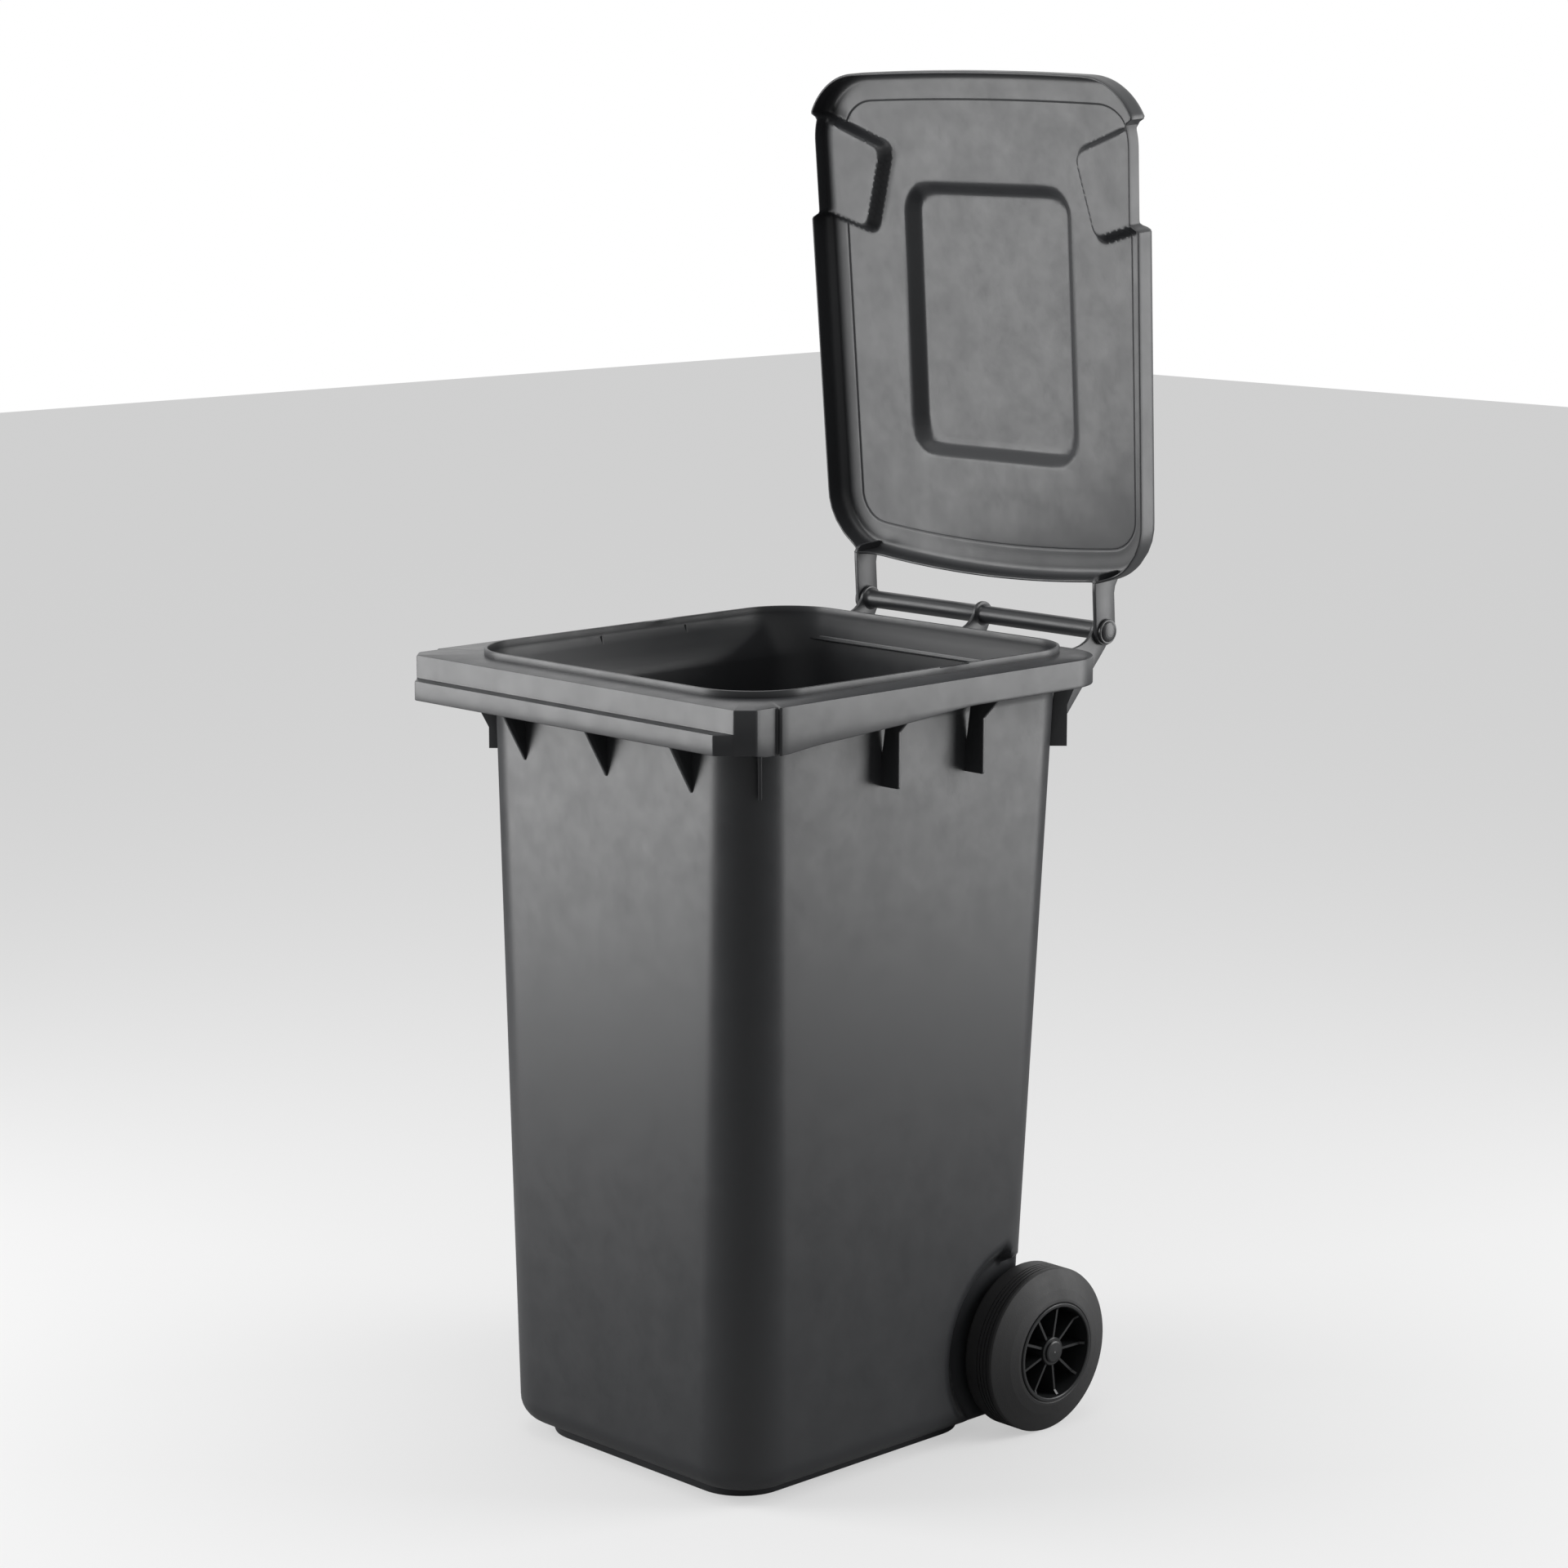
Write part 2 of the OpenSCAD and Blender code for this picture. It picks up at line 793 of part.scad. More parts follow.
tub();
lid();
hinge_pin_left();
hinge_pin_right();
axle();
hub_left();
hub_right();
tyre_left();
tyre_right();
hub_cap_left();
hub_cap_right();
latch_pin_left();
latch_pin_right();
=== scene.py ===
import json
import math

import bmesh
import bpy
import numpy as np
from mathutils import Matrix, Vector


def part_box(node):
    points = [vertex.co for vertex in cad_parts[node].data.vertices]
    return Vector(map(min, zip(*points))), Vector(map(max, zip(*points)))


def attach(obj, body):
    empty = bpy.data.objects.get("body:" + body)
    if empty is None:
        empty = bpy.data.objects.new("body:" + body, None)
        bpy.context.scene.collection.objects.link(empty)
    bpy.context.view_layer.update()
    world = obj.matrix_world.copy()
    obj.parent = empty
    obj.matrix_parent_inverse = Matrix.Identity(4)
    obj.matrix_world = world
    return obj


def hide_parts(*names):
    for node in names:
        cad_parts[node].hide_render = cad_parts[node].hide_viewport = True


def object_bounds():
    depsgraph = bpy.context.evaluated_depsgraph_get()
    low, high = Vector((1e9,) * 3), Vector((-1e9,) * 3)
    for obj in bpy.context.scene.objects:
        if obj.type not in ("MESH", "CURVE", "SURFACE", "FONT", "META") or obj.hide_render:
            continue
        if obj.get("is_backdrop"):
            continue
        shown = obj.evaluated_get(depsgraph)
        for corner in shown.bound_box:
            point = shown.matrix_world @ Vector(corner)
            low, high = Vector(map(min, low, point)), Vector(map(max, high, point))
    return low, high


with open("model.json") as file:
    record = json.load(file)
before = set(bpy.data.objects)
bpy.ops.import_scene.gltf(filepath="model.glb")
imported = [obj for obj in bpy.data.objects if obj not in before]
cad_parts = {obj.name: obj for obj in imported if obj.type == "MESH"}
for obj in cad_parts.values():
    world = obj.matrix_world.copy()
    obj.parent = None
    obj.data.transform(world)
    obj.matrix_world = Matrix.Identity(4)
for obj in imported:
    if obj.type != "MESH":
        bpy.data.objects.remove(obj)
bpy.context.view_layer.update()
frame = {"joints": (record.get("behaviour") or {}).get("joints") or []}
bpy.context.scene.view_settings.view_transform = "Standard"
print("frame loaded")

# Sizes below are millimetres in the frame of the CAD; meshes are written in metres.
joints = {j["name"]: j for j in frame["joints"]}
hingeY, hingeZ = (1000 * v for v in joints["lid_hinge"]["pos_m"][1:])
axleY, axleZ = (1000 * v for v in joints["wheel_right_spin"]["pos_m"][1:])
hingeOverRim, hingeBehindRim = 9.5, 79.7
rimTop = hingeZ - hingeOverRim
rimHalf = 1000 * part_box("tub")[1][0]
rimRear = hingeY - hingeBehindRim

# Mesh helpers


def gridFaces(rows, cols, closed=True, start=0, flip=False):
    # quads between neighbouring rows of a rows x cols grid, closed round each row if asked
    i = np.arange(rows - 1)[:, None]
    j = np.arange(cols if closed else cols - 1)[None, :]
    k = (j + 1) % cols
    a, b = i * cols + j, i * cols + k
    quads = np.stack([a, b, b + cols, a + cols], -1).reshape(-1, 4) + start
    return quads[:, ::-1] if flip else quads


def makePiece(name, points, faces, body, material, replaced=(), sharp=38):
    # points in millimetres; doubles are merged and the normals turned outwards
    mesh = bpy.data.meshes.new(name)
    pts = np.asarray(points, float).reshape(-1, 3) / 1000
    mesh.from_pydata(pts.tolist(), [], [list(map(int, f)) for f in faces])
    obj = bpy.data.objects.new(name, mesh)
    bpy.context.scene.collection.objects.link(obj)
    bm = bmesh.new()
    bm.from_mesh(mesh)
    bmesh.ops.remove_doubles(bm, verts=bm.verts, dist=3e-6)
    bmesh.ops.recalc_face_normals(bm, faces=bm.faces)
    bm.to_mesh(mesh)
    bm.free()
    mesh.shade_smooth()
    mesh.set_sharp_from_angle(angle=math.radians(sharp))
    mesh.materials.append(material)
    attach(obj, body)
    if replaced:
        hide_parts(*replaced)
    return obj


def smoothStep(x):
    x = np.clip(x, 0, 1)
    return x * x * (3 - 2 * x)


def smoothMin(a, b, k):
    # the lower of two values, rounded off over a width k
    h = np.clip(0.5 + 0.5 * (b - a) / k, 0, 1)
    return b * (1 - h) + a * h - k * h * (1 - h)


def lathe(profile, segments, centre, sign=1):
    # profile of (radius, x) pairs turned about the X axis through centre
    p = np.asarray(profile, float)
    a = np.arange(segments) * 2 * math.pi / segments
    pts = np.empty((len(p), segments, 3))
    pts[..., 0] = centre[0] + sign * p[:, 1][:, None]
    pts[..., 1] = centre[1] + p[:, 0][:, None] * np.cos(a)[None, :]
    pts[..., 2] = centre[2] + p[:, 0][:, None] * np.sin(a)[None, :]
    return pts, gridFaces(len(p), segments, True)


def plate(outline, thick, place, edge=0.8):
    # flat plate: its outline carried through the thickness, drawn in by the edge radius at both faces
    p = np.asarray(outline, float)
    area = 0.5 * np.sum(p[:, 0] * np.roll(p[:, 1], -1) - np.roll(p[:, 0], -1) * p[:, 1])
    if area < 0:
        p = p[::-1]
    d = np.roll(p, -1, 0) - p
    d /= np.linalg.norm(d, axis=1)[:, None]
    inward = np.stack([-d[:, 1], d[:, 0]], -1)
    prev = np.roll(inward, 1, 0)
    miter = inward + prev
    miter /= np.maximum(0.35, 1 + np.sum(inward * prev, 1))[:, None]
    h = thick / 2
    c = edge * (1 - math.sqrt(0.5))
    rows = [(edge, -h), (c, -h + c), (0, -h + edge), (0, h - edge), (c, h - c), (edge, h)]
    n = len(p)
    pts = np.concatenate([np.column_stack([p + miter * t, np.full(n, w)]) for t, w in rows])
    faces = gridFaces(len(rows), n, True).tolist()
    faces.append(list(range(n))[::-1])
    faces.append(list(range((len(rows) - 1) * n, len(rows) * n)))
    return place(pts), faces


def joined(parts):
    # several (points, faces) pairs as one
    pts, faces, start = [], [], 0
    for p, f in parts:
        p = np.asarray(p).reshape(-1, 3)
        pts.append(p)
        faces += [[int(k) + start for k in q] for q in f]
        start += len(p)
    return np.concatenate(pts), faces


# Materials


def linear(hexCode):
    v = [int(hexCode[i : i + 2], 16) / 255 for i in (1, 3, 5)]
    return [c / 12.92 if c <= 0.04045 else ((c + 0.055) / 1.055) ** 2.4 for c in v] + [1]


def addNode(tree, kind, settings=None, links=None):
    node = tree.nodes.new(kind)
    for key, value in (settings or {}).items():
        if isinstance(key, str) and hasattr(node, key):
            setattr(node, key, value)
        else:
            node.inputs[key].default_value = value
    for key, socket in (links or {}).items():
        tree.links.new(socket, node.inputs[key])
    return node


def newMaterial(name):
    material = bpy.data.materials.new(name)
    material.use_nodes = True
    material.node_tree.nodes.clear()
    return material, material.node_tree


# High-density polyethylene, injection moulded and spark-eroded: a soft sheen over a very fine
# even grain, slightly cloudy, with faint scuffs.
tubFinish = {
    "colour": "#2b2c2e",
    "cloud": "#323335",
    "roughness": 0.36,
    "grainMm": 1.1,
    "grainHeightMm": 0.02,
    "cloudMm": 160,
    "scuffMm": 45,
}


def mouldedPlastic(name, look):
    material, tree = newMaterial(name)
    place = addNode(tree, "ShaderNodeTexCoord")
    cloud = addNode(tree, "ShaderNodeTexNoise",
        {"Scale": 1000 / look["cloudMm"], "Detail": 3.0, "Roughness": 0.55},
        {"Vector": place.outputs["Object"]})
    colour = addNode(tree, "ShaderNodeMix",
        {"data_type": "RGBA", 6: linear(look["colour"]), 7: linear(look["cloud"])},
        {0: cloud.outputs["Fac"]})
    scuff = addNode(tree, "ShaderNodeTexNoise",
        {"Scale": 1000 / look["scuffMm"], "Detail": 6.0, "Roughness": 0.7},
        {"Vector": place.outputs["Object"]})
    rough = addNode(tree, "ShaderNodeMapRange",
        {1: 0.3, 2: 0.7, 3: look["roughness"] - 0.05, 4: look["roughness"] + 0.06},
        {0: scuff.outputs["Fac"]})
    grain = addNode(tree, "ShaderNodeTexNoise",
        {"Scale": 1000 / look["grainMm"], "Detail": 2.0},
        {"Vector": place.outputs["Object"]})
    bump = addNode(tree, "ShaderNodeBump",
        {"Strength": 0.6, "Distance": look["grainHeightMm"] / 1000},
        {"Height": grain.outputs["Fac"]})
    shader = addNode(tree, "ShaderNodeBsdfPrincipled",
        {"IOR": 1.5},
        {"Base Color": colour.outputs[2], "Roughness": rough.outputs[0], "Normal": bump.outputs[0]})
    addNode(tree, "ShaderNodeOutputMaterial", None, {"Surface": shader.outputs[0]})
    return material


tubPlastic = mouldedPlastic("mouldedPolyethyleneTub", tubFinish)
lidFinish = dict(tubFinish, colour="#2d2e30", cloud="#343537", roughness=0.38)
lidPlastic = mouldedPlastic("mouldedPolyethyleneLid", lidFinish)
# Polyamide pins and polypropylene hubs: smoother mould faces, a little blacker.
pinFinish = dict(tubFinish, colour="#222325", cloud="#28292b", roughness=0.32, grainHeightMm=0.01)
pinPlastic = mouldedPlastic("mouldedPolyamidePin", pinFinish)
hubFinish = dict(tubFinish, colour="#1d1e1f", cloud="#232425", roughness=0.34, grainHeightMm=0.012)
hubPlastic = mouldedPlastic("mouldedPolypropyleneHub", hubFinish)
# Solid rubber, moulded in a sand-blasted form: matt, with a coarse pebbled grain.
tyreFinish = dict(tubFinish, colour="#1c1c1d", cloud="#222223", roughness=0.62, grainMm=1.6,
    grainHeightMm=0.16, cloudMm=60)
tyreRubber = mouldedPlastic("mouldedSolidRubber", tyreFinish)
print("materials ready")

# Camera, light and floor
view = {"lens": 91.52, "place": (3.3322, -3.1505, 1.6425), "tilt": 79.43, "turn": 46.18}
viewTurn = math.radians(view["turn"])
camera = bpy.data.objects.new("camera", bpy.data.cameras.new("camera"))
camera.data.lens = view["lens"]
camera.data.sensor_width = 36
camera.data.clip_end = 100
camera.location = view["place"]
camera.rotation_euler = (math.radians(view["tilt"]), 0, viewTurn)
bpy.context.scene.collection.objects.link(camera)
bpy.context.scene.camera = camera

light = {
    "leftWatts": 75, "rightWatts": 60, "topWatts": 26, "sideMetres": 2.6,
    "ambient": 0.35, "floor": "#dedede",
}


def areaLamp(name, watts, width, height, where, target):
    data = bpy.data.lights.new(name, "AREA")
    data.shape = "RECTANGLE"
    data.size, data.size_y, data.energy = width, height, watts
    obj = bpy.data.objects.new(name, data)
    bpy.context.scene.collection.objects.link(obj)
    obj.location = where
    obj.rotation_mode = "QUATERNION"
    obj.rotation_quaternion = (Vector(target) - Vector(where)).to_track_quat("-Z", "Y")


# the softboxes stand square to the view, so the corner towards it stays darkest
across = np.array([math.cos(viewTurn), math.sin(viewTurn), 0])
side = light["sideMetres"]
areaLamp("softboxLeft", light["leftWatts"], 1.6, 2.4, tuple(-across * side + [0, 0, 1.2]), (0, 0, 0.8))
areaLamp("softboxRight", light["rightWatts"], 1.6, 2.4, tuple(across * side + [0, 0, 1.2]), (0, 0, 0.8))
areaLamp("softboxTop", light["topWatts"], 2.4, 2.4, (0.2, -0.2, 3.6), (0, 0, 0))

world = bpy.data.worlds.new("studio")
bpy.context.scene.world = world
world.use_nodes = True
tree = world.node_tree
tree.nodes.clear()
rays = addNode(tree, "ShaderNodeLightPath")
seen = addNode(tree, "ShaderNodeMath", {"operation": "MAXIMUM", "use_clamp": True},
    {0: rays.outputs["Is Camera Ray"], 1: rays.outputs["Is Transmission Ray"]})
# the backdrop stands behind the bin, so glossy rays find it only on that side
way = addNode(tree, "ShaderNodeTexCoord")
backness = addNode(tree, "ShaderNodeVectorMath",
    {"operation": "DOT_PRODUCT", 1: (-math.sin(viewTurn), math.cos(viewTurn), 0)},
    {0: way.outputs["Generated"]})
behind = addNode(tree, "ShaderNodeMapRange", {1: -0.35, 2: 0.35, 3: 0.12, 4: 1.0},
    {0: backness.outputs["Value"]})
glossy = addNode(tree, "ShaderNodeMath", {"operation": "MULTIPLY"},
    {0: rays.outputs["Is Glossy Ray"], 1: behind.outputs[0]})
white = addNode(tree, "ShaderNodeMath", {"operation": "MAXIMUM"}, {0: seen.outputs[0], 1: glossy.outputs[0]})
dim = addNode(tree, "ShaderNodeBackground", {"Color": (1, 1, 1, 1), "Strength": light["ambient"]})
bright = addNode(tree, "ShaderNodeBackground", {"Color": (1, 1, 1, 1), "Strength": 1.0})
both = addNode(tree, "ShaderNodeMixShader", None,
    {0: white.outputs[0], 1: dim.outputs[0], 2: bright.outputs[0]})
addNode(tree, "ShaderNodeOutputWorld", None, {"Surface": both.outputs[0]})

floorMaterial, tree = newMaterial("paintedFloor")
rays = addNode(tree, "ShaderNodeLightPath")
paint = addNode(tree, "ShaderNodeBsdfDiffuse", {"Color": linear(light["floor"])})
glow = addNode(tree, "ShaderNodeEmission", {"Color": (1, 1, 1, 1)},
    {"Strength": rays.outputs["Is Camera Ray"]})
half = addNode(tree, "ShaderNodeMixShader", {0: 0.5}, {1: paint.outputs[0], 2: glow.outputs[0]})
addNode(tree, "ShaderNodeOutputMaterial", None, {"Surface": half.outputs[0]})
floorMesh = bpy.data.meshes.new("floor")
floorMesh.from_pydata([(-12, -12, 0), (12, -12, 0), (12, 12, 0), (-12, 12, 0)], [], [(0, 1, 2, 3)])
floorMesh.materials.append(floorMaterial)
floor = bpy.data.objects.new("floor", floorMesh)
bpy.context.scene.collection.objects.link(floor)
floor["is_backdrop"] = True
print("camera, lights and floor ready")

# Tub
tub = {
    "wall": 4, "footHalf": 215.7, "footFront": -226.6, "footRear": 246.5, "footZ": 44,
    "flareZ": rimTop - 55, "sideDraft": 0.01846, "frontDraft": 0.0054, "rearDraft": 0.0538,
    "footCorner": 73, "topCorner": 60, "rearCorner": 50, "footRound": 30,
    "plinthHalf": 180, "plinthLength": 196, "plinthCorner": 58, "plinthZ": 14,
    "lipHalf": 250, "lipFront": -243, "lipRear": 297, "lipFrontCorner": 80, "lipRearCorner": 75,
    "lipHeight": 8,
}


def wallRing(z, inset):
    # half width, front, rear and the two corner radii of the wall at a height, drawn in by inset
    up = max(z, tub["footZ"]) - tub["footZ"]
    share = up / (tub["flareZ"] - tub["footZ"])
    corner = tub["footCorner"] + (tub["topCorner"] - tub["footCorner"]) * share
    return [tub["footHalf"] + tub["sideDraft"] * up - inset,
        tub["footFront"] - tub["frontDraft"] * up + inset,
        tub["footRear"] + tub["rearDraft"] * up - inset,
        max(corner - inset, 2), max(tub["rearCorner"] - inset, 2), z]


def lipRing(z, inset):
    return [tub["lipHalf"] - inset, tub["lipFront"] + inset, tub["lipRear"] - inset,
        tub["lipFrontCorner"] - inset, tub["lipRearCorner"] - inset, z]


def plinthRing(z, inset):
    return [tub["plinthHalf"] - inset, -tub["plinthLength"] + inset, tub["plinthLength"] - inset,
        max(tub["plinthCorner"] - inset, 1), max(tub["plinthCorner"] - inset, 1), z]


# where the points of a ring stand: shares along front, corners, sides and rear
sideShares = np.unique(np.concatenate([np.linspace(0, 0.68, 12), np.linspace(0.68, 1, 34)]))
cornerAngles = np.linspace(0, math.pi / 2, 21)


def ringPoints(stations):
    # rounded rectangles with separate front and rear corner radii, all rings at once:
    # each ring runs from the front middle round the right side to the rear middle and back
    s = np.asarray(stations, float)
    half, front, rear, rf, rr, z = (s[:, i][:, None] for i in range(6))
    c, w = np.cos(cornerAngles)[None, :], np.sin(cornerAngles)[None, :]
    t = np.linspace(0, 1, 10)[None, :]
    u = sideShares[None, :]
    xs = [t[:, :-1] * (half - rf), half - rf + rf * w, half + 0 * u[:, 1:-1],
        half - rr + rr * c, (1 - t[:, 1:]) * (half - rr)]
    ys = [front + 0 * t[:, :-1], front + rf - rf * c,
        (front + rf) + u[:, 1:-1] * (rear - rr - front - rf),
        rear - rr + rr * w, rear + 0 * t[:, 1:]]
    x, y = np.concatenate(xs, 1), np.concatenate(ys, 1)
    x = np.concatenate([x, -x[:, -2:0:-1]], 1)
    y = np.concatenate([y, y[:, -2:0:-1]], 1)
    return np.stack([x, y, z + 0 * x], -1)


bayLine = np.array([[-10, 198.1], [36, 198.1], [60, 212.1], [136, 212.1], [190, 262.1], [400, 472]])


def carve(p, grow):
    # axle bay: the rear stays ahead of a line in side view; wheel wells: the sides stay inside
    # a dish about the axle, 45 degrees steep, with a soft front edge; grow moves both inwards
    x, y, z = p[..., 0], p[..., 1], p[..., 2]
    limit = np.interp(z - grow * 0.5, bayLine[:, 0], bayLine[:, 1]) - grow * 1.05
    y = np.where(z < 262, smoothMin(y, limit, 5), y)
    r = np.hypot(y - axleY, z - axleZ)
    dish = 200 - grow + np.maximum(r - 115 - grow, 0) / 1.05
    strip = 200 - grow + np.maximum(r - 107 - grow, 0) * 2.5
    blend = smoothStep((y - (axleY - 34)) / 10)
    well = dish * (1 - blend) + np.maximum(strip, dish) * blend
    near = np.abs(x) > 120
    x = np.where(near, np.sign(x) * smoothMin(np.abs(x), well, 7), x)
    return np.stack([x, y, z], -1)


def curveUp(a):
    return tub["footRound"] * (1 - math.cos(a)), tub["footRound"] * (1 - math.sin(a))


wallHeights = np.concatenate([np.arange(48, 244, 4.0), np.linspace(250, 885, 22)])
outside = [plinthRing(0, 176), plinthRing(0, 90), plinthRing(0, 3), plinthRing(0.8, 0.8), plinthRing(3, 0),
    plinthRing(11, 0), plinthRing(13, -0.6), wallRing(14, 30)]
outside[-1][3:5] = [50, 40]
for a in np.linspace(0.12, math.pi / 2, 9):
    lift, draw = curveUp(a)
    outside.append(wallRing(tub["plinthZ"] + lift, draw))
outside += [wallRing(z, 0) for z in wallHeights]
flare = [(0.08, 0.03), (0.25, 0.17), (0.5, 0.45), (0.75, 0.78), (0.92, 0.97), (1, 1)]


def flareRing(share, out, inset):
    a, b = wallRing(tub["flareZ"], inset), lipRing(rimTop, inset)
    return [a[i] + (b[i] - a[i]) * out for i in range(5)] + [tub["flareZ"] + share * 55]


outside += [flareRing(s, o, 0) for s, o in flare]
lipTop = rimTop + tub["lipHeight"]
outside += [lipRing(lipTop - 1.4, 0), lipRing(lipTop - 0.4, 0.4), lipRing(lipTop, 1.4)]
wall = tub["wall"]
inside = [lipRing(lipTop, wall - 1.4), lipRing(lipTop - 0.4, wall - 0.4), lipRing(lipTop - 1.4, wall)]
inside += [flareRing(s, o, wall) for s, o in flare[::-1]]
inside += [wallRing(z, wall) for z in wallHeights[::-1]]
for a in np.linspace(math.pi / 2, 0.12, 8):
    r = tub["footRound"] - wall
    inside.append(wallRing(tub["footZ"] - r * math.cos(a), tub["footRound"] - r * math.sin(a)))
inside += [plinthRing(17, 3.5), plinthRing(15, 4.6), plinthRing(6, 5), plinthRing(4, 7),
    plinthRing(4, 90), plinthRing(4, 176)]

outer, inner = carve(ringPoints(outside), 0), carve(ringPoints(inside), wall)
walls = np.concatenate([outer, inner])
# small notches in the side lips
lipRow = walls[..., 2] > lipTop - 1.0
notch = np.maximum(*(smoothStep(2.5 - np.abs(walls[..., 1] - y) / 4) for y in (-58, 76)))
walls[..., 2] -= np.where(lipRow & (np.abs(walls[..., 0]) > 240), 2.0 * notch, 0)
rows, cols = walls.shape[:2]
faces = gridFaces(rows, cols).tolist()
faces.append(list(range(cols))[::-1])
faces.append(list(range((rows - 1) * cols, rows * cols)))
makePiece("tubWall", walls, faces, "body", tubPlastic, ["tub"], 42)
print("tub wall ready", rows * cols)

# Rim
rim = {
    "thick": 4, "front": -286, "bandHalf": 254, "bandOut": 16, "bandTop": rimTop - 27,
    "sideInset": 5.5, "stepY": -238, "corner": 70, "edge": 1.8,
}
skirtLow = np.array([[-320, -50], [-271, -50], [-256, -53], [-231, -53], [-181, -48], [-50, -41],
    [40, -34], [64, -32.5], [320, -32.5]])


def rimPath(inset):
    # right half of the rim's outline from the front middle to the rear middle, drawn in by inset;
    # a corner between two lines is an arc with its own radius, the rest are even points
    t = inset
    side = rimHalf - rim["sideInset"] - t
    c = rim["bandHalf"] + rim["bandOut"] - rim["front"] - t * math.sqrt(2)
    front, far, out = rim["front"] + t, rimRear - t, rimHalf - t
    corners = [((c + front, front), max(3.0 - t, 0.6)), ((side, side - c), max(6.0 - t, 0.6)),
        ((side, rim["stepY"] + t), 1.2 + 0.3 * t), ((out, rim["stepY"] + t), max(2.5 - t, 0.5)),
        ((out, far), rim["corner"] - t)]
    counts = [5, 5, 4, 4, 24]
    flats = [np.concatenate([np.linspace(0, 0.94, 26), np.linspace(0.942, 0.998, 14)]), np.linspace(0, 1, 5),
        np.linspace(0, 1, 6), np.linspace(0, 1, 4), np.linspace(0, 1, 44), np.linspace(0, 1, 14)]
    arcs, ends = [], [np.array([0.0, front])]
    p = [np.array([0.0, front])] + [np.array(q, float) for q, _ in corners] + [np.array([0.0, far])]
    for i, (_, radius) in enumerate(corners):
        a, b = p[i] - p[i + 1], p[i + 2] - p[i + 1]
        a, b = a / np.linalg.norm(a), b / np.linalg.norm(b)
        half = math.acos(np.clip(a @ b, -1, 1)) / 2
        cut = radius / math.tan(half)
        mid = p[i + 1] + (a + b) / np.linalg.norm(a + b) * radius / math.sin(half)
        s, e = p[i + 1] + a * cut - mid, p[i + 1] + b * cut - mid
        w = np.linspace(0, 1, counts[i])[:, None]
        v = s * (1 - w) + e * w
        arcs.append(mid + v * radius / np.linalg.norm(v, axis=1)[:, None])
    line, start = [], p[0]
    for i, flat in enumerate(flats):
        end = arcs[i][0] if i < len(arcs) else p[-1]
        pts = start + (end - start) * flat[:, None]
        line.append(pts if i == 0 else pts[1:-1] if i < len(flats) - 1 else pts[1:])
        if i < len(arcs):
            line.append(arcs[i])
            start = arcs[i][-1]
    half = np.concatenate(line)
    return np.concatenate([half, half[-2:0:-1] * [-1, 1]])


def nearestOn(ring, pts):
    # nearest points on a rounded rectangle given as half, front, rear and two radii
    halfW, front, rear, rf, rr = ring[:5]
    x, y = np.abs(pts[:, 0]), pts[:, 1]
    radius = np.where(y < 0, rf, rr)
    cx = np.minimum(x, halfW - radius)
    cy = np.clip(y, front + rf, rear - rr)
    dx, dy = x - cx, y - cy
    length = np.maximum(np.hypot(dx, dy), 1e-6)
    return np.stack([np.sign(pts[:, 0]) * (cx + dx / length * radius), cy + dy / length * radius], -1)


edgePath = rimPath(0)
onFront = edgePath[:, 1] < rim["front"] + 1.5
fromMiddle = np.abs(edgePath[:, 0])
out = np.where(onFront, np.clip(rim["bandHalf"] + rim["bandOut"] - fromMiddle, 0, rim["bandOut"]), 0)
out = np.where(fromMiddle < rim["bandHalf"] - 2, rim["bandOut"], out)
lowZ = rimTop + np.interp(edgePath[:, 1], skirtLow[:, 0], skirtLow[:, 1])
ledge = np.clip(out / 3, 0, 1)
t, e, top = rim["thick"], rim["edge"], rimTop


def rimRow(inset, outward, z):
    ring = rimPath(inset)
    y = ring[:, 1] - outward
    return np.stack([ring[:, 0], y, z + 0 * y], -1)


lipBase = nearestOn(lipRing(0, 2.2), edgePath)
bt = rim["bandTop"]
rows = [np.column_stack([lipBase, np.full(len(lipBase), top)]),
    rimRow(e, 0, top), rimRow(0.53, 0, top - 0.53), rimRow(0, 0, top - e),
    rimRow(0, 0, bt + 1.2 * ledge), rimRow(0, 0.35 * ledge, bt + 0.35 * ledge), rimRow(0, out * 0.5, bt),
    rimRow(0, np.maximum(out - 1.6, 0), bt),
    rimRow(0, np.maximum(out - 0.45, out * 0.8), bt - 0.45 * ledge),
    rimRow(0, out, bt - 1.6), rimRow(0, out, lowZ + 1.3), rimRow(0.4, out, lowZ + 0.4),
    rimRow(1.3, out, lowZ),
    rimRow(t - 1.3, out, lowZ), rimRow(t - 0.4, out, lowZ + 0.4), rimRow(t, out, lowZ + 1.3),
    rimRow(t, out, bt - t), rimRow(t, 0, bt - t), rimRow(t, 0, top - t - 1), rimRow(t + 1, 0, top - t),
    np.column_stack([lipBase, np.full(len(lipBase), top - t)])]
rows.append(rows[0])
rimPts = np.stack(rows)
makePiece("rim", rimPts, gridFaces(len(rows), rimPts.shape[1]), "body", tubPlastic, ["tub"],
    32)
print("rim ready", rimPts.shape)

# Gussets, ribs, brackets and handle bar
ribs = {
    "thick": 4, "gussetPitch": 142, "sideY": [-21, 116], "sideReach": 258, "cornerOut": 17,
    "bracketThick": 5, "barRadius": 11, "barHalf": 192, "eye": 16,
}


def acrossX(x):
    return lambda p: np.stack([x + p[:, 2], p[:, 0], p[:, 1]], -1)


def acrossY(y, s):
    return lambda p: np.stack([s * p[:, 0], y + s * p[:, 2], p[:, 1]], -1)


def upright(x, y, turn, s):
    # plate standing on a corner, its plane turned about Z
    c, w = math.cos(turn), math.sin(turn)
    return lambda p: np.stack(
        [s * (x + p[:, 0] * c - p[:, 2] * w), y + p[:, 0] * w + p[:, 2] * c, p[:, 1]], -1)


